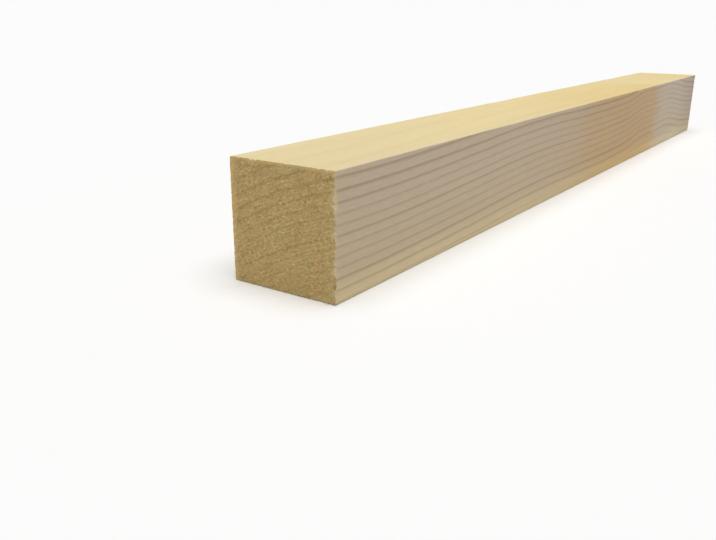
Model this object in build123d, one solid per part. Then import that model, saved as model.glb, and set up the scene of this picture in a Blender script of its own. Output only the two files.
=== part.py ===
from build123d import *
import os

# A stick of planed softwood with a square section, crosscut to length.
# It lies on its underside: X runs along the grain, Z is up, and the origin is
# the middle of the underside. All sizes are in millimetres.

# Driving dimensions
length = 500.0  # between the two crosscut ends
width = 45.0  # between the two planed side faces
height = 45.0  # from the underside to the top face
arris_radius = 0.5  # the long edges are only just taken off


def planed_section():
    """The section that the planer leaves, square to the grain, with its foot on Z = 0."""
    outline = RectangleRounded(width, height, arris_radius)
    return Plane.YZ * Pos(0, height / 2) * outline


def timber_plank():
    """The section drawn out along the grain to both crosscut ends, whose edges stay sharp."""
    stick = extrude(planed_section(), amount=length / 2, both=True)
    stick.label = "timber_plank"
    return stick


os.makedirs("parts", exist_ok=True)
export_step(timber_plank(), "parts/timber_plank.step")
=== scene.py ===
# A square stick of planed softwood, lying on its underside.
# Metres, in the CAD frame: X runs along the grain with the near sawn end at -X, the front faces -Y, Z is up.
import math
import bpy
import numpy as np
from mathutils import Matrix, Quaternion, Vector, noise


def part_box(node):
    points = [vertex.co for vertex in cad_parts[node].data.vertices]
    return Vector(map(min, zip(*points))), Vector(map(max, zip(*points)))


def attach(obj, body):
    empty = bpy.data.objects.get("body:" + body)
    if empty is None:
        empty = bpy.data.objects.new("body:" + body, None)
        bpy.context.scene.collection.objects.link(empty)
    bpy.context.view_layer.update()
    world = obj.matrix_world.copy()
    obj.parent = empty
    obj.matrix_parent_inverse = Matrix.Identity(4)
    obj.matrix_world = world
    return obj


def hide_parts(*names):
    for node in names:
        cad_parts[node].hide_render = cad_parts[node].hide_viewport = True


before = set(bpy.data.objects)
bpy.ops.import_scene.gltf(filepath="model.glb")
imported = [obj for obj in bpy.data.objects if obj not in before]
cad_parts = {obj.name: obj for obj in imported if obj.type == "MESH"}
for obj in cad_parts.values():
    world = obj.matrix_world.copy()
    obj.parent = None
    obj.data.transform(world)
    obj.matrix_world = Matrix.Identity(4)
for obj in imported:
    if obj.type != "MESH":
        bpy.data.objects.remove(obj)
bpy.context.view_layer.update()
lowCorner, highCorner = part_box("timber_plank")
length, width, height = highCorner - lowCorner
middle = (lowCorner + highCorner) / 2
scene = bpy.context.scene
mm = 0.001
sideNormals = np.array(((0, -1), (1, 0), (0, 1), (-1, 0)))  # underside, back, top and front, as y and z
sideCount = len(sideNormals)
frontSide = 3  # the front's place among them
squareCorners = ((-1, -1), (1, -1), (1, 1), (-1, 1))
seedShift = np.array((17.3, 5.1, 9.7))  # how far each seed moves a noise, in lumps
print("frame loaded, stick", [round(side / mm, 1) for side in (length, width, height)], "mm")


# Noise from -1 to 1 at each point, in lumps about as big as lumpSize
def lumps(points, lumpSize, seed):
    places = points / np.array(lumpSize) + seed * seedShift
    values = [noise.noise(place) for place in places.reshape(-1, 3).tolist()]
    return np.array(values).reshape(places.shape[:-1])


# The same for places on an end, which are only y and z. End 0 is the near one, end 1 the far one
def endLumps(places, lumpSize, end, seed):
    return lumps(np.column_stack((np.full(len(places), float(end)), places)), lumpSize, seed)


# The stick: a planed section drawn along the grain, with worn long edges and two sawn ends
stick = {
    "seed": 5,
    "arris": 0.5 * mm,  # radius of the long edges
    "faceSteps": 118,  # quads across a face
    "arrisSteps": 4,  # quads round a long edge
    "endStep": 0.3 * mm,  # first row of quads in from a sawn end
    "endGrowth": 1.2,  # each row is longer than the last by this
    "longStep": 4.6 * mm,  # until the rows are this long
    "planerDepth": 0.03 * mm,
    "planerLumps": (70 * mm, 9 * mm, 9 * mm),
    "arrisWear": 0.12 * mm,
    "arrisLumps": 16 * mm,  # wear along a long edge comes and goes over this length
    "arrisReach": 0.7 * mm,  # how far round the edge it goes
    "worn": 0.3,  # more than this leaves less of a long edge untouched
    "dents": 3,  # on each long edge
    "dentDepth": (0.1 * mm, 0.35 * mm),
    "dentLength": (4 * mm, 9 * mm),
}


# Rows of quads along the grain, short at the ends and even between
def rowsAlong():
    steps = [stick["endStep"]]
    while steps[-1] * stick["endGrowth"] < stick["longStep"]:
        steps.append(steps[-1] * stick["endGrowth"])
    nearEnd = np.concatenate(([0], np.cumsum(steps)))
    between = length - 2 * nearEnd[-1]
    count = round(between / stick["longStep"])
    inner = nearEnd[-1] + between * np.arange(1, count) / count
    return lowCorner.x + np.concatenate((nearEnd, inner, length - nearEnd[::-1]))


# The section's outline, anticlockwise seen from +X: each face in turn, with the arris after it
def sectionOutline():
    places, normals = [], []
    flat = np.linspace(-1, 1, stick["faceSteps"] + 1)
    for side, out in enumerate(sideNormals):
        along = np.array((-out[1], out[0]))
        reach, away = (width / 2, height / 2) if side % 2 == 0 else (height / 2, width / 2)
        reach -= stick["arris"]
        places += [out * away + along * step * reach for step in flat]
        normals += [out] * len(flat)
        corner = out * (away - stick["arris"]) + along * reach
        for step in range(1, stick["arrisSteps"]):
            bend = step / stick["arrisSteps"] * math.pi / 2
            normal = out * math.cos(bend) + along * math.sin(bend)
            places.append(corner + normal * stick["arris"])
            normals.append(normal)
    return np.array(places) + (middle.y, middle.z), np.array(normals)


# The long faces: barely uneven from the planer, the long edges worn and dented
def wornFaces(rows, places, normals):
    points = np.zeros((len(rows), len(places), 3))
    points[..., 0] = rows[:, None]
    points[..., 1:] = places
    planed = stick["planerDepth"] * (lumps(points, stick["planerLumps"], stick["seed"]) - 1) / 2
    points[..., 1:] += planed[..., None] * normals
    rng = np.random.default_rng(stick["seed"])
    for edge, (ySign, zSign) in enumerate(((1, -1), (1, 1), (-1, 1), (-1, -1))):
        corner = (middle.y + ySign * width / 2, middle.z + zSign * height / 2)
        near = np.exp(-((places - corner) ** 2).sum(1) / stick["arrisReach"] ** 2)
        spots = np.column_stack((rows, np.full(len(rows), edge * width), np.zeros(len(rows))))
        comesAndGoes = np.clip(stick["worn"] + lumps(spots, stick["arrisLumps"], stick["seed"] + 1), 0, 1)
        wear = stick["arrisWear"] * comesAndGoes
        for dent in range(stick["dents"]):
            place = rng.uniform(rows[0], rows[-1])
            size = rng.uniform(*stick["dentLength"])
            wear += rng.uniform(*stick["dentDepth"]) * np.exp(-((rows - place) / size) ** 2)
        points[..., 1:] -= (wear[:, None] * near)[..., None] * np.array((ySign, zSign)) / math.sqrt(2)
    return points


# The sawn ends: chips broken out of their edges, blade marks and lumps of fibre
sawnEnd = {
    "seed": 11,  # each of its patterns adds a number of its own
    # how many chips, and how deep for their size, along the underside, back, top and front edge
    "chips": ((18, 0.6), (3, 0.2), (7, 0.3), (9, 0.8)),
    "chipWidth": (0.3 * mm, 1.1 * mm),  # half of it
    "chipLength": (0.6 * mm, 1.8 * mm),  # along the grain
    "chipDepth": (0.25 * mm, 0.9 * mm),
    # larger notches down the near end's front edge: how far up, half the width, the length and the depth
    "notches": ((0.10, 1.0 * mm, 0.9 * mm, 0.5 * mm), (0.265, 1.6 * mm, 1.2 * mm, 0.7 * mm),
                (0.52, 1.9 * mm, 1.3 * mm, 0.8 * mm), (0.59, 0.5 * mm, 1.2 * mm, 0.4 * mm),
                (0.757, 1.5 * mm, 1.9 * mm, 1.6 * mm), (0.80, 3.2 * mm, 1.3 * mm, 0.8 * mm)),
    "chipLumps": 0.7 * mm,
    "chipUneven": 0.7,
    "farShare": 0.4,  # the far end is torn by this share of the near one
    "ragged": 0.28 * mm,  # fine tearing between the chips
    "raggedLumps": 0.8 * mm,
    "raggedLevel": 0.4,  # more than this leaves less of an edge untorn
    "raggedReach": 1.2 * mm,
    "bevel": 0.35,  # a torn edge also draws back along the grain by this share of its depth
    "bevelReach": 0.7 * mm,
    "fullyTorn": 0.4 * mm,  # torn this deep, the wood shows its torn colour
    "crisp": 0.2,  # torn by more than this share of that, its faces are shaded flat
    "pullReach": 3 * mm,  # how far into the end a chip draws the surface
    "roughness": 0.08 * mm,
    "roughLumps": 1.0 * mm,
    "fineRoughness": 0.6,  # finer lumps of half that size, as a share
    "bladeDepth": 0.035 * mm,
    "bladePitch": 2.3 * mm,
    "bladeLumps": 6 * mm,
    "bladeUneven": 0.4,
    "bladeShaft": (190 * mm, -60 * mm),  # y and z of the middle of the blade's marks
}


# How strongly each point of the outline belongs to each of the four sides
def sideShares(normals):
    return np.clip(normals @ sideNormals.T, 0, 1) ** 2


# How much an end is torn, as a share of the near one
def endShare(end):
    return 1 if end == 0 else sawnEnd["farShare"]


# How far the saw tore each point of the outline inwards, at each of these depths in from one end
def tornDepth(places, normals, depths, end, rng):
    share, shares = endShare(end), sideShares(normals)
    chips = []
    for side, (count, deep) in enumerate(sawnEnd["chips"]):
        for chip in range(count):
            spot = rng.uniform(0, 1)
            halfWidth = rng.uniform(*sawnEnd["chipWidth"])
            reach = rng.uniform(*sawnEnd["chipLength"])
            chips.append((side, spot, halfWidth, reach, rng.uniform(*sawnEnd["chipDepth"]) * deep * share))
    if end == 0:
        chips += [(frontSide, *notch) for notch in sawnEnd["notches"]]
    torn = np.zeros((len(depths), len(places)))
    for side, spot, halfWidth, reach, depth in chips:
        across = places[:, side % 2]
        offset = (across - across.min() - spot * np.ptp(across)) / halfWidth
        profile = np.clip(1 - offset ** 2, 0, 1) * shares[:, side]
        fade = np.clip(1 - depths / reach, 0, 1)
        torn = np.maximum(torn, depth * fade[:, None] * profile)
    torn *= 1 + sawnEnd["chipUneven"] * endLumps(places, sawnEnd["chipLumps"], end, sawnEnd["seed"] + 4)
    fine = endLumps(places, sawnEnd["raggedLumps"], end, sawnEnd["seed"])
    fine = np.maximum(fine + sawnEnd["raggedLevel"], 0)
    deepest = shares @ np.array([deep for count, deep in sawnEnd["chips"]])
    fade = np.exp(-depths / sawnEnd["raggedReach"])
    return torn + sawnEnd["ragged"] * share * fade[:, None] * (fine * deepest)


# Relief of a sawn face, outwards
def sawnRelief(places, end):
    seed = sawnEnd["seed"]
    fibre = endLumps(places, sawnEnd["roughLumps"], end, seed + 1)
    fibre += sawnEnd["fineRoughness"] * endLumps(places, sawnEnd["roughLumps"] / 2, end, seed + 2)
    sweep = np.hypot(*(places - sawnEnd["bladeShaft"]).T)
    marks = np.sin(sweep / sawnEnd["bladePitch"] * 2 * math.pi)
    uneven = sawnEnd["bladeUneven"]
    marks *= 1 - uneven + uneven * endLumps(places, sawnEnd["bladeLumps"], end, seed + 3)
    return sawnEnd["roughness"] * fibre + sawnEnd["bladeDepth"] * marks


# Tears one end of the long faces. Returns the grid that closes it, and how deep faces and grid are torn
def sawEnd(points, places, normals, rows, end, rng):
    row, out = (0, -1) if end == 0 else (len(rows) - 1, 1)
    steps, perSide = stick["faceSteps"], stick["faceSteps"] + stick["arrisSteps"]
    torn = tornDepth(places, normals, np.abs(rows - rows[row]), end, rng)
    points[..., 1:] -= torn[..., None] * normals
    points[..., 0] -= out * sawnEnd["bevel"] * torn
    points[row, :, 0] += out * sawnRelief(places, end)
    flat = np.linspace(-1, 1, steps + 1)
    across, up = np.meshgrid(
        middle.y + flat * (width / 2 - stick["arris"]), middle.z + flat * (height / 2 - stick["arris"])
    )
    flatGrid = np.column_stack((across.ravel(), up.ravel()))
    grid = np.column_stack((np.full(len(flatGrid), rows[row]), flatGrid))
    grid[:, 0] += out * sawnRelief(flatGrid, end)
    gridTorn = np.zeros(len(grid))
    for side, normal in enumerate(sideNormals):
        axis = side % 2
        face = slice(side * perSide, side * perSide + steps + 1)
        order = np.argsort(places[face, axis])
        depth = np.interp(flatGrid[:, axis], places[face, axis][order], torn[row, face][order])
        gap = np.abs(flatGrid[:, 1 - axis] - places[face][0, 1 - axis])
        bevelled = depth * np.exp(-gap / sawnEnd["bevelReach"])
        grid[:, 1:] -= (depth * np.clip(1 - gap / sawnEnd["pullReach"], 0, 1))[:, None] * normal
        grid[:, 0] -= out * sawnEnd["bevel"] * bevelled
        gridTorn = np.maximum(gridTorn, bevelled)
    return grid, torn, gridTorn


# Corners of every face: quads round the stick, then each end's quads and the small fans at its corners
def stickFaces(rowCount, count):
    steps, arrisSteps = stick["faceSteps"], stick["arrisSteps"]
    row, spot = np.meshgrid(np.arange(rowCount - 1) * count, np.arange(count), indexing="ij")
    after = (spot + 1) % count
    sides = np.stack((row + spot, row + after, row + count + after, row + count + spot), axis=-1)
    lattice = np.arange((steps + 1) ** 2).reshape(steps + 1, steps + 1)
    cells = np.stack((lattice[:-1, :-1], lattice[:-1, 1:], lattice[1:, 1:], lattice[1:, :-1]), axis=-1)
    rims = (lattice[0], lattice[:, -1], lattice[-1, ::-1], lattice[::-1, 0])
    endQuads, endFans = [], []
    for end in range(2):
        loop = np.arange(count) + end * (rowCount - 1) * count
        base = rowCount * count + end * lattice.size
        quads, fans = [base + cells.reshape(-1, 4)], []
        for side, rim in enumerate(rims):
            first = side * (steps + arrisSteps)
            outer = loop[first:first + steps + 1]
            quads.append(np.stack((outer[:-1], outer[1:], base + rim[1:], base + rim[:-1]), axis=-1))
            bend = loop[(first + steps + np.arange(arrisSteps + 1)) % count]
            fans.append(np.stack((bend[:-1], bend[1:], np.full(arrisSteps, base + rim[-1])), axis=-1))
        turn = 1 if end == 1 else -1  # the near end faces the other way
        endQuads.append(np.concatenate(quads)[:, ::turn])
        endFans.append(np.concatenate(fans)[:, ::turn])
    return [sides.reshape(-1, 4)] + endQuads + endFans


# Where the finish goes when it is baked: a strip for each long face, and above them a panel for each end
bakeLayout = {
    "margin": 0.006,
    "stripHeight": 0.185,
    "panelWidth": 0.47,
    "panelStep": 0.5,  # from the near end's panel to the far end's
}


def bakePlaces(rows, places, faces, flatPoints):
    margin, strip = bakeLayout["margin"], bakeLayout["stripHeight"]
    hop = np.linalg.norm(np.roll(places, -1, axis=0) - places, axis=1).reshape(sideCount, -1)
    run = np.hstack((np.zeros((sideCount, 1)), np.cumsum(hop, axis=1)))
    run = run / run[:, -1:] * (strip - margin) + strip * np.arange(sideCount)[:, None] + margin / 2
    along = margin + (rows - rows[0]) / length * (1 - 2 * margin)
    sides = np.zeros((len(rows) - 1, len(places), 4, 2))
    sides[..., :2, 0] = along[:-1, None, None]
    sides[..., 2:, 0] = along[1:, None, None]
    sides[..., (0, 3), 1] = run[:, :-1].reshape(-1, 1)
    sides[..., (1, 2), 1] = run[:, 1:].reshape(-1, 1)
    spots = [sides.reshape(-1, 2)]
    across = (flatPoints[:, 1] - lowCorner.y) / width * bakeLayout["panelWidth"] + margin
    panelFoot = sideCount * strip + margin
    up = panelFoot + (flatPoints[:, 2] - lowCorner.z) / height * (1 - panelFoot - margin)
    for number, corners in enumerate(faces[1:]):
        panel = np.column_stack((across + bakeLayout["panelStep"] * (number % 2), up))
        spots.append(panel[corners].reshape(-1, 2))
    return np.concatenate(spots)


def addPiece(name, vertices, faces, uvs, smooth):
    mesh = bpy.data.meshes.new(name)
    mesh.from_pydata(vertices.tolist(), [], [face for group in faces for face in group.tolist()])
    mesh.polygons.foreach_set("use_smooth", smooth)
    mesh.uv_layers.new(name="OFBake").data.foreach_set("uv", uvs.ravel())
    piece = bpy.data.objects.new(name, mesh)
    scene.collection.objects.link(piece)
    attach(piece, "root")
    print(name, "built,", len(mesh.loops) - 2 * len(mesh.polygons), "triangles")
    return piece


def buildStick():
    rows = rowsAlong()
    places, normals = sectionOutline()
    points = wornFaces(rows, places, normals)
    rng = np.random.default_rng(sawnEnd["seed"])
    nearGrid, nearTorn, nearGridTorn = sawEnd(points, places, normals, rows, 0, rng)
    farGrid, farTorn, farGridTorn = sawEnd(points, places, normals, rows, 1, rng)
    vertices = np.concatenate((points.reshape(-1, 3), nearGrid, farGrid))
    torn = np.concatenate(((nearTorn + farTorn).ravel(), nearGridTorn, farGridTorn))
    share = np.clip(torn / sawnEnd["fullyTorn"], 0, 1)
    faces = stickFaces(len(rows), len(places))
    smooth = np.concatenate([share[corners].max(1) < sawnEnd["crisp"] for corners in faces])
    piece = addPiece("planed_stick", vertices, faces, bakePlaces(rows, places, faces, vertices), smooth)
    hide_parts("timber_plank")
    mesh = piece.data
    mesh.attributes.new("torn", "FLOAT", "POINT").data.foreach_set("value", share)
    # the saw leaves sharp edges round both ends
    pairs = np.zeros(len(mesh.edges) * 2, np.int32)
    mesh.edges.foreach_get("vertices", pairs)
    onRim = np.zeros(len(vertices), bool)
    for row in (0, len(rows) - 1):
        onRim[row * len(places):(row + 1) * len(places)] = True
    mesh.edges.foreach_set("use_edge_sharp", onRim[pairs.reshape(-1, 2)].all(1))
    return piece, ((points[0], nearTorn[0]), (points[-1], farTorn[-1])), normals


# Growth rings run right through the wood, so that the lines on the sides meet those on the ends
rings = {
    "pith": (-68.0, -141.0),  # y and z of the tree's middle, in millimetres
    "tightest": 3.45,  # width of the tightest rings, in millimetres
    "tightestAt": 167.0,  # how far out from the pith they are
    "easing": 0.0213,  # how fast the rings widen on both sides of that
    "first": 145.87,  # number of the ring that is tightest
    # how far the grain rises along the stick, as shares of its length and height
    "rise": ((0.0, 0.0), (0.07, 0.0), (0.19, 0.042), (0.3, 0.09), (0.375, 0.098), (0.46, 0.086),
             (0.58, 0.09), (0.635, 0.108), (0.7, 0.18), (0.735, 0.19), (0.79, 0.191), (0.835, 0.204),
             (0.885, 0.155), (0.94, 0.075), (1.0, 0.03)),
    "riseUpwards": ((0.0, 0.5), (0.12, 0.66), (0.4, 1.0), (1.0, 1.0)),  # it rises less near the underside
    "wander": 0.3,  # in millimetres
    "wanderScale": (0.014, 0.06, 0.06),  # lumps for each millimetre
    "ripple": 0.14,
    "rippleScale": (0.07, 0.25, 0.25),
    # darkness of the late wood across one ring, from the pith outwards
    "line": ((0.0, 0.2), (0.06, 0.0), (0.55, 0.05), (0.74, 0.4), (0.88, 1.0), (0.95, 0.95), (1.0, 0.2)),
    "palest": 0.52,  # the palest ring's line, as a share of the darkest
    # the lines come and go along the stick
    "strength": ((0.0, 0.98), (0.2, 0.9), (0.4, 0.82), (0.58, 0.93), (0.75, 0.6), (0.9, 0.95), (1.0, 1.0)),
}


# Torn fibres of a sawn end: flat tufts all over it, along the rings, and splinters along its torn edges
fibres = {
    "seed": 23,
    "tufts": 1300,  # on each end
    "tuftTries": 4,  # spots tried for each of them, because the bare patches lose some
    "tuftLength": (0.15 * mm, 0.45 * mm),  # half of it
    "tuftThickness": (0.05 * mm, 0.1 * mm),  # half of it
    "tuftHeight": (0.12 * mm, 0.36 * mm),
    "tuftLean": (0.2, 0.9),  # over to the pith, for their height
    "tuftTurn": 0.35,  # radians away from the rings
    "tuftPatches": 7 * mm,  # they stand in patches about this big
    "tuftThinning": (-0.75, 0.25),  # drawn for each spot, so that the patches have no sharp border
    "tuftOutwards": 0.5,  # more of them towards the corners
    "crest": ((-0.7, 0.6), (0.1, 1.0), (0.75, 0.6)),  # how far along and how high its three points are
    "crestUneven": (0.7, 1.0),
    "clearOfEdge": 1.2 * mm,
    "splinters": 160,  # on the near end
    "inChips": 0.35,  # share of them that stands where the edge is torn
    "splinterLength": (0.5 * mm, 1.7 * mm),
    "fewLong": 3,  # a higher power leaves fewer long ones
    "splinterThickness": (0.06 * mm, 0.14 * mm),
    "splinterInset": (0.03 * mm, 0.3 * mm),
    "splinterSpread": 0.16,  # how far they point aside, for their length
    # splinters folded over the near end's front edge: how far up and their spread, as shares, and how many
    "burrs": ((0.17, 0.03, 45), (0.04, 0.02, 10), (0.5, 0.012, 12), (0.62, 0.02, 8)),
    "burrLength": (0.7 * mm, 1.5 * mm),
    "burrLean": (0.4, 1.1),  # over the edge, for their length
    "waist": 0.55,  # where a splinter bends, as a share of its length
    "waistThickness": 0.75,
    "bend": 0.1,  # how far aside, for its length
    "root": 0.25 * mm,  # how deep they all start in the wood
}
# Seven corners for each, the foot's first: where they go in a cell of their own in the baked finish
tuftCell = np.array(
    ((0.08, 0.1), (0.92, 0.1), (0.92, 0.9), (0.08, 0.9), (0.25, 0.5), (0.5, 0.52), (0.75, 0.5))
)
splinterCell = np.array(
    ((0.5, 0.95), (0.1, 0.2), (0.9, 0.2), (0.5, 0.72), (0.3, 0.36), (0.7, 0.36), (0.5, 0.48))
)
footCell = 0.06  # size of the hidden foot, in the corner of the cell
cornersEach = len(tuftCell)
tuftFaces = np.array(
    ((0, 1, 5), (0, 5, 4), (1, 6, 5), (2, 3, 5), (2, 5, 6), (3, 4, 5), (1, 2, 6), (3, 0, 4))
)
tuftFoot = np.array(((3, 2, 1, 0),))
splinterFaces = np.array(
    ((0, 1, 4), (0, 4, 3), (1, 2, 5), (1, 5, 4), (2, 0, 3), (2, 3, 5), (3, 4, 6), (4, 5, 6), (5, 3, 6))
)
splinterFoot = np.array(((2, 1, 0),))
splinterSides = 3


# Corners of the tufts of one end, seven each: a sunk foot and a ragged crest that leans over
def makeTufts(end, out, plane, rng):
    inset = np.array((fibres["clearOfEdge"], fibres["clearOfEdge"]))
    low, high = np.array(lowCorner[1:]) + inset, np.array(highCorner[1:]) - inset
    spots = rng.uniform(low, high, (fibres["tuftTries"] * fibres["tufts"], 2))
    outwards = np.abs((spots - (low + high) / 2) / (high - low)).sum(1) * fibres["tuftOutwards"]
    patch = endLumps(spots, fibres["tuftPatches"], end, fibres["seed"])
    thinning = rng.uniform(*fibres["tuftThinning"], len(spots))
    spots = spots[patch + outwards + thinning > 0][:fibres["tufts"]]
    count = len(spots)
    inward = np.array(rings["pith"]) * mm - spots
    inward /= np.linalg.norm(inward, axis=1)[:, None]
    turn = rng.normal(0, fibres["tuftTurn"], count)
    inward = np.column_stack((
        inward[:, 0] * np.cos(turn) - inward[:, 1] * np.sin(turn),
        inward[:, 0] * np.sin(turn) + inward[:, 1] * np.cos(turn),
    ))
    along = np.column_stack((inward[:, 1], -inward[:, 0])) * out
    half = rng.uniform(*fibres["tuftLength"], count)[:, None]
    thick = rng.uniform(*fibres["tuftThickness"], count)[:, None]
    tall = rng.uniform(*fibres["tuftHeight"], count)
    lean = (rng.uniform(*fibres["tuftLean"], count) * tall)[:, None]
    vertices = np.zeros((count, cornersEach, 3))
    for corner, (alongShare, inShare) in enumerate(squareCorners):
        vertices[:, corner, 0] = plane - out * fibres["root"]
        vertices[:, corner, 1:] = spots + along * half * alongShare + inward * thick * inShare
    for corner, (alongShare, tallShare) in enumerate(fibres["crest"], len(squareCorners)):
        uneven = rng.uniform(*fibres["crestUneven"], count)
        vertices[:, corner, 0] = plane + out * tall * tallShare * uneven
        vertices[:, corner, 1:] = spots + along * half * alongShare + inward * lean * tallShare
    return vertices


# Corners of the splinters of one end, seven each: a sunk foot, a bent waist and a tip
def makeSplinters(end, out, rim, torn, normals, rng):
    count = round(fibres["splinters"] * endShare(end))
    anywhere = sideShares(normals) @ np.array([number * deep for number, deep in sawnEnd["chips"]])
    inChips = fibres["inChips"]
    chance = (1 - inChips) * anywhere / anywhere.sum() + inChips * torn / torn.sum()
    chosen = rng.choice(len(rim), count, p=chance)
    lean = np.zeros(count)
    front = np.flatnonzero(sideShares(normals)[:, frontSide] == 1)
    burrs = fibres["burrs"] if end == 0 else ()
    for spot, scatter, number in burrs:
        levels = lowCorner.z + height * rng.normal(spot, scatter, number)
        chosen = np.append(chosen, front[np.abs(rim[front, 2] - levels[:, None]).argmin(1)])
        lean = np.append(lean, rng.uniform(*fibres["burrLean"], number))
    count = len(chosen)
    outward = np.column_stack((np.zeros(count), normals[chosen]))
    roots = rim[chosen] - outward * rng.uniform(*fibres["splinterInset"], (count, 1))
    roots[:, 0] -= out * fibres["root"]
    aims = rng.normal(0, fibres["splinterSpread"], (count, 3)) + outward * lean[:, None]
    aims[:, 0] += out
    shortest, longest = fibres["splinterLength"]
    lengths = shortest + (longest - shortest) * rng.uniform(0, 1, count) ** fibres["fewLong"]
    reach = aims * np.where(lean > 0, rng.uniform(*fibres["burrLength"], count), lengths)[:, None]
    thick = rng.uniform(*fibres["splinterThickness"], count)[:, None, None]
    around = np.arange(splinterSides) * out * 2 * math.pi / splinterSides
    angles = rng.uniform(0, 2 * math.pi, count)[:, None] + around
    ring = np.stack((np.zeros_like(angles), np.cos(angles), np.sin(angles)), axis=-1) * thick
    bend = np.roll(reach, 1, axis=1) * np.array((0, fibres["bend"], fibres["bend"]))
    base = roots[:, None] + ring
    waist = (roots + reach * fibres["waist"] + bend)[:, None] + ring * fibres["waistThickness"]
    tip = (roots + reach)[:, None]
    return np.concatenate((base, waist, tip), axis=1)


def buildFibres(end, rim, torn, normals, name):
    rng = np.random.default_rng(fibres["seed"] + end)
    out, plane = (-1, lowCorner.x) if end == 0 else (1, highCorner.x)
    tufts = makeTufts(end, out, plane, rng)
    splinters = makeSplinters(end, out, rim, torn, normals, rng)
    vertices = np.concatenate((tufts, splinters))
    vertices[..., 2] = np.maximum(vertices[..., 2], lowCorner.z)  # none goes through the floor
    total = len(vertices)
    columns = math.ceil(math.sqrt(total))
    numbers = np.arange(total)
    cells = np.stack((numbers % columns, numbers // columns), axis=-1)
    kinds = ((numbers[:len(tufts)], tuftFaces, tuftFoot, tuftCell),
             (numbers[len(tufts):], splinterFaces, splinterFoot, splinterCell))
    faces, uvs = [], []
    for owners, corners, foot, layout in kinds:
        for group, places in ((corners, layout), (foot, layout * footCell)):
            faces.append((owners[:, None, None] * cornersEach + group).reshape(-1, group.shape[1]))
            uvs.append(((cells[owners][:, None, None] + places[group]) / columns).reshape(-1, 2))
    flat = np.zeros(sum(map(len, faces)), bool)
    return addPiece(name, vertices.reshape(-1, 3), faces, np.concatenate(uvs), flat)


# Short names for the nodes of a finish
def feed(tree, socket, value):
    if isinstance(value, bpy.types.NodeSocket):
        tree.links.new(value, socket)
    else:
        socket.default_value = value


def addNode(tree, kind, sockets, **settings):
    node = tree.nodes.new("ShaderNode" + kind)
    for name, value in settings.items():
        setattr(node, name, value)
    for name, value in sockets.items():
        feed(tree, node.inputs[name], value)
    return node


def calc(tree, operation, *values):
    return addNode(tree, "Math", dict(enumerate(values)), operation=operation).outputs[0]


# The mix node takes colours at sockets 6 and 7, with output 2, and values at 2 and 3
def mixColours(tree, share, first, second, how="MIX"):
    return addNode(tree, "Mix", {0: share, 6: first, 7: second}, data_type="RGBA", blend_type=how).outputs[2]


def mixValues(tree, share, first, second):
    return addNode(tree, "Mix", {0: share, 2: first, 3: second}).outputs[0]


def scaleColour(tree, colour, tone):
    return addNode(tree, "VectorMath", {0: colour, "Scale": tone}, operation="SCALE").outputs[0]


def spread(tree, value, low, high, toLow=0.0, toHigh=1.0):
    sockets = {"Value": value, "From Min": low, "From Max": high, "To Min": toLow, "To Max": toHigh}
    return addNode(tree, "MapRange", sockets, interpolation_type="SMOOTHSTEP").outputs[0]


# Detail of a noise, from even lumps to lumps with ever finer ones in them
evenNoise = 0.0
plainNoise = 1.0
fineNoise = 2.0
richNoise = 3.0
innerNoise = (0.35, 0.65)  # many of a noise's values lie between these
mostNoise = (0.3, 0.7)  # and most between these


def grainNoise(tree, vector, perMm, detail=fineNoise, roughness=0.5):
    scaled = addNode(tree, "VectorMath", {0: vector, 1: perMm}, operation="MULTIPLY").outputs[0]
    sockets = {"Vector": scaled, "Scale": 1.0, "Detail": detail, "Roughness": roughness}
    return addNode(tree, "TexNoise", sockets).outputs[0]


# A noise as a swing to both sides of nothing, by this amount
def swing(tree, value, amount):
    return calc(tree, "MULTIPLY", calc(tree, "SUBTRACT", value, 0.5), 2 * amount)


# A smooth curve through listed points
def handCurve(tree, value, points):
    node = addNode(tree, "FloatCurve", {"Value": value})
    curve = node.mapping.curves[0]
    curve.points[0].location, curve.points[1].location = points[0], points[-1]
    for point in points[1:-1]:
        curve.points.new(*point)
    node.mapping.update()
    return node.outputs[0]


def newFinish(name):
    material = bpy.data.materials.new(name)
    material.use_nodes = True
    return material, material.node_tree, material.node_tree.nodes["Principled BSDF"]


def millimetres(tree):
    place = addNode(tree, "TexCoord", {}).outputs["Object"]
    return addNode(tree, "VectorMath", {0: place, "Scale": 1 / mm}, operation="SCALE").outputs[0]


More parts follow.
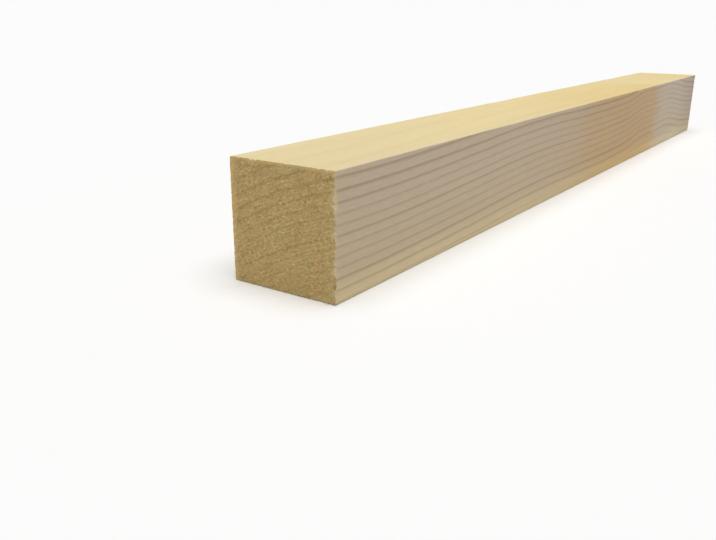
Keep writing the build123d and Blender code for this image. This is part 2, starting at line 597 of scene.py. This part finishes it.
# Where a point lies in the stick and in its rings, and how dark the late wood is there
def ringNodes(tree):
    inMm = millimetres(tree)
    x, y, z = addNode(tree, "SeparateXYZ", {0: inMm}).outputs
    along = calc(tree, "DIVIDE", calc(tree, "SUBTRACT", x, lowCorner.x / mm), length / mm)
    upwards = calc(tree, "DIVIDE", calc(tree, "SUBTRACT", z, lowCorner.z / mm), height / mm)
    riseUpwards = handCurve(tree, upwards, rings["riseUpwards"])
    rise = calc(tree, "MULTIPLY", handCurve(tree, along, rings["rise"]), riseUpwards)
    outY = calc(tree, "SUBTRACT", y, rings["pith"][0])
    level = calc(tree, "SUBTRACT", z, rings["pith"][1])
    outZ = calc(tree, "SUBTRACT", level, calc(tree, "MULTIPLY", rise, height / mm))
    squares = calc(tree, "ADD", calc(tree, "POWER", outY, 2.0), calc(tree, "POWER", outZ, 2.0))
    wander = swing(tree, grainNoise(tree, inMm, rings["wanderScale"]), rings["wander"])
    ripple = swing(tree, grainNoise(tree, inMm, rings["rippleScale"]), rings["ripple"])
    radius = calc(tree, "ADD", calc(tree, "SQRT", squares), calc(tree, "ADD", wander, ripple))
    offset = calc(tree, "MULTIPLY", calc(tree, "SUBTRACT", radius, rings["tightestAt"]), rings["easing"])
    perTurn = 1 / (rings["tightest"] * rings["easing"])
    count = calc(tree, "MULTIPLY_ADD", calc(tree, "ARCTANGENT", offset), perTurn, rings["first"])
    ringTone = addNode(tree, "TexWhiteNoise", {"W": calc(tree, "FLOOR", count)}, noise_dimensions="1D")
    strength = calc(
        tree, "MULTIPLY", handCurve(tree, along, rings["strength"]),
        spread(tree, ringTone.outputs[0], 0.0, 1.0, rings["palest"], 1.0),
    )
    late = calc(tree, "MULTIPLY", handCurve(tree, calc(tree, "FRACT", count), rings["line"]), strength)
    around = calc(tree, "MULTIPLY", calc(tree, "ARCTAN2", outY, outZ), rings["tightestAt"])
    polar = addNode(tree, "CombineXYZ", {0: around, 1: radius, 2: x}).outputs[0]
    place = {"inMm": inMm, "x": x, "y": y, "z": z, "along": along, "upwards": upwards}
    return place | {"late": late, "polar": polar}


# The planed faces: pale and warm on the top and underside, greyer and darker on the front and back, which is
# painted cool shade on the same wood
planedFinish = {
    "faceEarly": (0.77, 0.635, 0.324, 1),
    "faceLate": (0.65, 0.48, 0.21, 1),
    "faceLines": 0.15,  # how strongly the rings show on the top and underside
    # painted cool shade: the front and back colours are a greyer, darker copy of the top's
    "sideEarly": (0.583, 0.470, 0.311, 1),
    "sideLate": (0.44, 0.325, 0.195, 1),
    # warm and cool stretches along the stick, 1 is warm
    "warmth": ((0.0, 0.3), (0.12, 0.26), (0.3, 0.34), (0.4, 0.43), (0.54, 0.93), (0.7, 1.0), (0.745, 0.93),
               (0.82, 0.1), (0.92, 0.08), (1.0, 0.45)),
    "warmTint": (0.93, 0.8, 0.625, 1),
    "coolTint": (0.97, 1.0, 1.12, 1),
    "tongues": 0.05,  # they end in tongues along the grain, in shares of the length
    "tongueScale": (0.05, 0.3, 0.006),  # round the rings, across them and along the grain
    "faceTint": 0.6,  # how much of them shows on the top and underside
    "backTint": 0.4,  # and towards the back
    "footTint": (1.2, 1.25, 1.12, 1),  # painted bounce light: the front and back are paler along their lower edge
    "footFrom": 12.0,  # millimetres up from the underside
    "footFull": 2.0,
    "headTint": (0.987, 1.005, 1.085, 1),  # and cooler towards the top
    # the lines fade near that edge: from how far up, as a share of the height, along the stick
    "fadeFrom": ((0.0, 0.05), (0.2, 0.06), (0.4, 0.16), (1.0, 0.16)),
    "fadeFull": 0.4,  # of that height
    "fadedLines": 0.25,  # how much of them is left
    "edgeTint": (1.0, 1.01, 1.09, 1),  # painted highlight: the top and underside are paler along their front edge
    "edgeWidth": 5.0,  # in millimetres, as the next lengths
    "nearFaceTint": (0.99, 1.0, 1.07, 1),  # all of it is paler near the near end
    "nearSideTint": (1.025, 1.02, 0.995, 1),
    "nearLength": 200.0,
    "farFaceTint": (0.985, 0.935, 0.85, 1),  # and a little duller near the far end
    "farFaceLength": 130.0,
    # painted shade: the front and back are darker near the far end
    "farSideTint": (0.86, 0.84, 0.86, 1),
    "farSideLength": 60.0,
    "streakScale": (0.035, 2.6, 2.6),  # lumps for each millimetre, as for the rest
    "streaks": 0.06,
    "streakRoughness": 0.6,  # how strong their finest lumps are
    "mottleScale": (0.012, 0.07, 0.07),
    "mottle": 0.05,
    "fleckScale": (0.22, 1.5, 1.5),
    "flecks": 0.07,  # short pale and dark fibres
    "torn": (0.66, 0.535, 0.305, 1),  # where the saw tore its edges
    "streakRelief": 0.04,  # in millimetres
    "ringRelief": 0.02,
}


# Colour and relief of the planed faces
def planedNodes(tree, place, streaks, onFace, torn):
    late = place["late"]
    fadeFrom = handCurve(tree, place["along"], planedFinish["fadeFrom"])
    fade = calc(tree, "DIVIDE", place["upwards"], fadeFrom)
    fade = spread(tree, fade, planedFinish["fadeFull"], 1.0, planedFinish["fadedLines"], 1.0)
    sideLate = calc(tree, "MULTIPLY", late, fade)
    # the front and back take the painted cool shade colours
    side = mixColours(tree, sideLate, planedFinish["sideEarly"], planedFinish["sideLate"])
    faceLate = calc(tree, "MULTIPLY", late, planedFinish["faceLines"])
    face = mixColours(tree, faceLate, planedFinish["faceEarly"], planedFinish["faceLate"])
    nearEnd, frontEdge, lowEdge = lowCorner / mm
    farEnd, backEdge = highCorner.xy / mm
    tongues = grainNoise(tree, place["polar"], planedFinish["tongueScale"])
    tongues = swing(tree, tongues, planedFinish["tongues"])
    warmth = handCurve(tree, calc(tree, "ADD", place["along"], tongues), planedFinish["warmth"])
    tint = mixColours(tree, warmth, planedFinish["coolTint"], planedFinish["warmTint"])
    tintShare = calc(
        tree, "MULTIPLY", mixValues(tree, onFace, 1.0, planedFinish["faceTint"]),
        spread(tree, place["y"], frontEdge, backEdge, 1.0, planedFinish["backTint"]),
    )
    colour = mixColours(tree, tintShare, mixColours(tree, onFace, side, face), tint, "MULTIPLY")
    # painted bounce light along the lower edge of the front and back
    foot = spread(tree, place["z"], lowEdge + planedFinish["footFrom"], lowEdge + planedFinish["footFull"])
    head = spread(tree, place["upwards"], 0.0, 1.0)
    # painted highlight along the front edge of the top and underside
    edge = spread(tree, place["y"], frontEdge + planedFinish["edgeWidth"], frontEdge)
    near = spread(tree, place["x"], nearEnd + planedFinish["nearLength"], nearEnd)
    farFace = spread(tree, place["x"], farEnd - planedFinish["farFaceLength"], farEnd)
    # painted shade near the far end of the front and back
    farSide = spread(tree, place["x"], farEnd - planedFinish["farSideLength"], farEnd)
    onSide = calc(tree, "SUBTRACT", 1.0, onFace)
    for name, share, where in (("foot", foot, onSide), ("head", head, onSide), ("edge", edge, onFace),
                               ("nearFace", near, onFace), ("nearSide", near, onSide),
                               ("farFace", farFace, onFace), ("farSide", farSide, onSide)):
        share = calc(tree, "MULTIPLY", share, where)
        colour = mixColours(tree, share, colour, planedFinish[name + "Tint"], "MULTIPLY")
    mottle = grainNoise(tree, place["inMm"], planedFinish["mottleScale"], richNoise)
    flecks = grainNoise(tree, place["inMm"], planedFinish["fleckScale"], plainNoise)
    tone = 1.0
    for pattern, name in ((streaks, "streaks"), (mottle, "mottle"), (flecks, "flecks")):
        tone = calc(tree, "ADD", swing(tree, pattern, planedFinish[name]), tone)
    colour = scaleColour(tree, colour, tone)
    colour = mixColours(tree, torn, colour, planedFinish["torn"])
    streakRelief = calc(tree, "MULTIPLY", streaks, planedFinish["streakRelief"])
    ringRelief = calc(tree, "MULTIPLY", late, planedFinish["ringRelief"])
    return colour, calc(tree, "ADD", streakRelief, ringRelief)


# The sawn ends: golden, with short dashes along the rings and fine pale and dark specks of cut fibre, partly
# painted highlight and shadow
sawnFinish = {
    "early": (0.508, 0.363, 0.149, 1),
    "late": (0.375, 0.242, 0.088, 1),
    "lines": 0.72,
    "narrowing": 1.6,  # the rings' lines are finer than on the planed faces
    "speckScale": (0.8, 1.35, 0.3),  # round the rings, across them and along the grain
    "pale": (0.72, 0.555, 0.27, 1),
    "paleFrom": 0.53,  # values of the noise
    "paleFull": 0.70,
    "dark": (0.34, 0.225, 0.08, 1),
    "darkFrom": 0.47,
    "darkFull": 0.32,
    "specks": 0.5,
    "fleckScale": (0.8, 1.6, 0.3),  # a few brighter flecks, partly painted glints of the fibre tips
    "fleckFrom": 0.69,
    "fleckFull": 0.85,
    "fleck": (0.77, 0.61, 0.33, 1),
    "dashScale": (0.16, 1.3, 0.1),
    "dashes": 0.28,
    "poreScale": (3.4, 4.2, 0.5),  # the ends of single fibres
    "pores": 0.11,
    "patchScale": (0.097, 0.09, 0.09),
    "patches": (0.75, 1.1),  # share of the specks in the smoothest and the roughest patch
    "hueScale": (0.22, 0.22, 0.22),
    "orange": (1.04, 0.98, 0.91, 1),
    "olive": (0.98, 1.01, 1.0, 1),
    "rim": (0.61, 0.42, 0.165, 1),  # smooth warm band along the back edge, and a narrow one along the top
    "backRim": 2.8,  # in millimetres
    "topRim": 1.2,
    "rimFull": 0.35,  # of its width
    "rimSpecks": 0.25,  # share of the specks that is left on it
    "tornShare": 0.9,
    "speckRelief": 0.16,  # in millimetres
    "dashRelief": 0.12,
    "poreRelief": 0.03,
}


# Colour and relief of the sawn ends
def sawnNodes(tree, place, torn):
    inMm, polar = place["inMm"], place["polar"]
    specks = grainNoise(tree, polar, sawnFinish["speckScale"], plainNoise)
    dashes = grainNoise(tree, polar, sawnFinish["dashScale"], plainNoise)
    pores = grainNoise(tree, polar, sawnFinish["poreScale"], plainNoise)
    patches = grainNoise(tree, inMm, sawnFinish["patchScale"])
    patches = spread(tree, patches, *innerNoise, *sawnFinish["patches"])
    hue = spread(tree, grainNoise(tree, inMm, sawnFinish["hueScale"]), *mostNoise)
    bands = []
    for axis, edge, name in (("y", highCorner.y, "backRim"), ("z", highCorner.z, "topRim")):
        fromEdge = calc(tree, "SUBTRACT", edge / mm, place[axis])
        bands.append(spread(tree, fromEdge, sawnFinish[name], sawnFinish[name] * sawnFinish["rimFull"]))
    rim = calc(tree, "MAXIMUM", *bands)
    rough = calc(tree, "MULTIPLY", patches, spread(tree, rim, 0.0, 1.0, 1.0, sawnFinish["rimSpecks"]))
    lines = calc(tree, "POWER", place["late"], sawnFinish["narrowing"])
    lines = calc(tree, "MULTIPLY", lines, sawnFinish["lines"])
    colour = mixColours(tree, lines, sawnFinish["early"], sawnFinish["late"])
    colour = mixColours(tree, rim, colour, sawnFinish["rim"])
    tint = mixColours(tree, hue, sawnFinish["olive"], sawnFinish["orange"])
    colour = mixColours(tree, 1.0, colour, tint, "MULTIPLY")
    colour = scaleColour(tree, colour, calc(tree, "ADD", swing(tree, dashes, sawnFinish["dashes"]), 1.0))
    # pale and dark specks: partly the fibres' own colour, partly painted highlight and shadow of the fibre
    # tips
    for name in ("pale", "dark"):
        share = spread(
            tree, specks, sawnFinish[name + "From"], sawnFinish[name + "Full"], 0.0, sawnFinish["specks"]
        )
        colour = mixColours(tree, calc(tree, "MULTIPLY", share, rough), colour, sawnFinish[name])
    # brighter flecks: partly painted glints of the fibre tips
    flecks = grainNoise(tree, polar, sawnFinish["fleckScale"], evenNoise)
    fleckShare = spread(tree, flecks, sawnFinish["fleckFrom"], sawnFinish["fleckFull"])
    colour = mixColours(tree, calc(tree, "MULTIPLY", fleckShare, rough), colour, sawnFinish["fleck"])
    tornShare = calc(tree, "MULTIPLY", torn, sawnFinish["tornShare"])
    colour = mixColours(tree, tornShare, colour, planedFinish["torn"])
    colour = scaleColour(tree, colour, calc(tree, "ADD", swing(tree, pores, sawnFinish["pores"]), 1.0))
    relief = 0.0
    for pattern, name in ((specks, "speck"), (dashes, "dash"), (pores, "pore")):
        relief = calc(tree, "MULTIPLY_ADD", pattern, sawnFinish[name + "Relief"], relief)
    return colour, relief


# The bare wood, planed or sawn by the way a surface faces
softwood = {
    "sawnFacing": (0.6, 0.8),  # how much of its facing is along the grain, from planed to sawn
    "faceFacing": (0.45, 0.8),  # how much is up or down, from front or back to top or underside
    "roughness": (0.62, 0.78),
    "specular": 0.25,
}


def makeSoftwood():
    material, tree, shader = newFinish("bare_softwood")
    facing = addNode(tree, "SeparateXYZ", {0: addNode(tree, "TexCoord", {}).outputs["Normal"]}).outputs
    onEnd = spread(tree, calc(tree, "ABSOLUTE", facing["X"]), *softwood["sawnFacing"])
    # the top and underside take the lit colours, the front and back the painted cool shade
    onFace = spread(tree, calc(tree, "ABSOLUTE", facing["Z"]), *softwood["faceFacing"])
    torn = addNode(tree, "Attribute", {}, attribute_name="torn").outputs["Fac"]
    place = ringNodes(tree)
    streaks = grainNoise(
        tree, place["inMm"], planedFinish["streakScale"], richNoise, planedFinish["streakRoughness"]
    )
    planedColour, planedHeight = planedNodes(tree, place, streaks, onFace, torn)
    sawnColour, sawnHeight = sawnNodes(tree, place, torn)
    feed(tree, shader.inputs["Base Color"], mixColours(tree, onEnd, planedColour, sawnColour))
    feed(tree, shader.inputs["Roughness"], spread(tree, streaks, *mostNoise, *softwood["roughness"]))
    shader.inputs["Specular IOR Level"].default_value = softwood["specular"]
    relief = mixValues(tree, onEnd, planedHeight, sawnHeight)
    bump = addNode(tree, "Bump", {"Height": relief, "Distance": mm, "Strength": 1.0})
    feed(tree, shader.inputs["Normal"], bump.outputs[0])
    print("softwood mixed,", len(tree.nodes), "nodes")
    return material


# Torn fibres are paler than the cut face they stand on
paleFibre = {
    "light": (0.66, 0.495, 0.23, 1),
    "dark": (0.49, 0.345, 0.142, 1),
    "patchScale": (0.4, 0.8, 0.8),
    "roughness": (0.75, 0.9),
    "specular": 0.2,
}


def makePaleFibre():
    material, tree, shader = newFinish("pale_fibre")
    patch = grainNoise(tree, millimetres(tree), paleFibre["patchScale"])
    share = spread(tree, patch, *innerNoise)
    feed(tree, shader.inputs["Base Color"], mixColours(tree, share, paleFibre["dark"], paleFibre["light"]))
    feed(tree, shader.inputs["Roughness"], spread(tree, patch, *mostNoise, *paleFibre["roughness"]))
    shader.inputs["Specular IOR Level"].default_value = paleFibre["specular"]
    print("fibre finish mixed")
    return material


# The studio: a pale floor, a wide soft lamp overhead and an even sky
studio = {
    "floorSize": 24.0,  # in metres
    "floorDrop": 0.05 * mm,  # the floor lies this far under the stick's underside
    "floorColour": (0.955, 0.955, 0.952, 1),
    "floorRoughness": 0.9,
    "floorSpecular": 0.0,
    "lampFrom": (-0.08, -0.12, 1.0),
    "lampStrength": 2.4,
    "lampSpread": 55,  # degrees across
    "skyColour": (1, 1, 1, 1),
    "skyStrength": 0.26,
    "backdropColour": (0.97, 0.97, 0.967, 1),
}


def layFloor():
    half, level = studio["floorSize"] / 2, lowCorner.z - studio["floorDrop"]
    mesh = bpy.data.meshes.new("floor")
    corners = [(x * half, y * half, level) for x, y in squareCorners]
    mesh.from_pydata(corners, [], [(0, 1, 2, 3)])
    floor = bpy.data.objects.new("floor", mesh)
    scene.collection.objects.link(floor)
    material, tree, shader = newFinish("pale_floor")
    shader.inputs["Base Color"].default_value = studio["floorColour"]
    shader.inputs["Roughness"].default_value = studio["floorRoughness"]
    shader.inputs["Specular IOR Level"].default_value = studio["floorSpecular"]
    mesh.materials.append(material)
    print("floor laid")


def lightStudio():
    lamp = bpy.data.lights.new("soft_lamp", "SUN")
    lamp.energy = studio["lampStrength"]
    lamp.angle = math.radians(studio["lampSpread"])
    lampPiece = bpy.data.objects.new("soft_lamp", lamp)
    lampPiece.rotation_euler = Vector(studio["lampFrom"]).to_track_quat("Z", "Y").to_euler()
    scene.collection.objects.link(lampPiece)
    world = bpy.data.worlds.new("even_sky")
    scene.world = world
    world.use_nodes = True
    tree = world.node_tree
    sky = tree.nodes["Background"]
    sky.inputs["Color"].default_value = studio["skyColour"]
    sky.inputs["Strength"].default_value = studio["skyStrength"]
    backdrop = addNode(tree, "Background", {"Color": studio["backdropColour"], "Strength": 1.0})
    rays = addNode(tree, "LightPath", {}).outputs
    mirrored = calc(tree, "MAXIMUM", rays["Is Glossy Ray"], rays["Is Transmission Ray"])
    seen = calc(tree, "MAXIMUM", rays["Is Camera Ray"], mirrored)
    both = addNode(tree, "MixShader", {0: seen, 1: sky.outputs[0], 2: backdrop.outputs[0]})
    tree.links.new(both.outputs[0], tree.nodes["World Output"].inputs["Surface"])
    print("studio lit")


# The camera looks down on the near end, the front and the top
camera = {
    "place": (-0.4358, -0.1604, 0.0909),
    "heading": 34.788,  # degrees from +X towards +Y
    "pitch": -18.711,
    "roll": 0.269,
    "lens": 37.887,
    "sensor": 36.0,
    "clipStart": 0.01,
}


def placeCamera():
    view = bpy.data.cameras.new("camera")
    view.sensor_fit = "HORIZONTAL"
    view.sensor_width = camera["sensor"]
    view.lens = camera["lens"]
    view.clip_start = camera["clipStart"]
    heading, pitch = math.radians(camera["heading"]), math.radians(camera["pitch"])
    level = math.cos(pitch)
    ahead = Vector((level * math.cos(heading), level * math.sin(heading), math.sin(pitch)))
    turn = ahead.to_track_quat("-Z", "Y") @ Quaternion((0, 0, 1), math.radians(camera["roll"]))
    piece = bpy.data.objects.new("camera", view)
    piece.rotation_euler = turn.to_euler()
    piece.location = camera["place"]
    scene.collection.objects.link(piece)
    scene.camera = piece
    print("camera placed")


scene.view_settings.view_transform = "Standard"
plank, rims, rimNormals = buildStick()
plank.data.materials.append(makeSoftwood())
fibreFinish = makePaleFibre()
for end, name in enumerate(("near_end_fibres", "far_end_fibres")):
    buildFibres(end, *rims[end], rimNormals, name).data.materials.append(fibreFinish)
layFloor()
lightStudio()
placeCamera()
